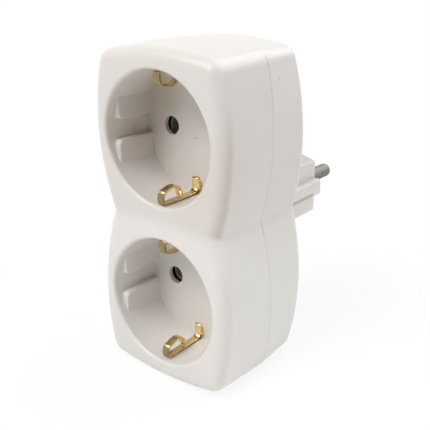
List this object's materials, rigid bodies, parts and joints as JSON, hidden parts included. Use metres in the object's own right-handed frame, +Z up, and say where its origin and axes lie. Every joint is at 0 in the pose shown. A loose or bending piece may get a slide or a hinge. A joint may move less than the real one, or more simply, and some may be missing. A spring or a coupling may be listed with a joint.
{
  "type": "multi socket adapter",
  "caption": "White plug-in mains adapter with round earthed sockets one above the other on a waisted housing, brass earth clips and a round-pin plug behind.",
  "frame": {"origin": "middle of the plug's end face, between the roots of the two pins", "axes": "+X to the right seen from the sockets, +Y out of the plug along its pins, +Z up along the line of sockets"},
  "size_m": [0.0506, 0.0789, 0.1024],
  "materials": {
    "front_housing": "semi-gloss white moulded plastic",
    "rear_housing": "semi-gloss white moulded plastic",
    "earth_brass": "polished rolled brass",
    "brass_strip": "rolled brass",
    "brass_rivet": "turned brass",
    "nickel_plate": "nickel plate on turned brass",
    "spring_steel": "bright spring steel",
    "screw_steel": "zinc plated steel"
  },
  "bodies": {
    "root": {"bottom_plug_earth_strip": "earth_brass", "contact_rivets": "brass_rivet", "earth_rivets": "brass_rivet", "earth_spine": "brass_strip", "front_shell": "front_housing", "housing_screws": "screw_steel", "left_contact_bar": "brass_strip", "left_plug_pin": "nickel_plate", "lower_bottom_earth_clip": "earth_brass", "lower_left_contact": "brass_strip", "lower_left_jaw_spring": "spring_steel", "lower_right_contact": "brass_strip", "lower_right_jaw_spring": "spring_steel", "lower_top_earth_clip": "earth_brass", "rear_shell": "rear_housing", "right_contact_bar": "brass_strip", "right_plug_pin": "nickel_plate", "top_plug_earth_strip": "earth_brass", "upper_bottom_earth_clip": "earth_brass", "upper_left_contact": "brass_strip", "upper_left_jaw_spring": "spring_steel", "upper_right_contact": "brass_strip", "upper_right_jaw_spring": "spring_steel", "upper_top_earth_clip": "earth_brass"}
  },
  "joints": []
}
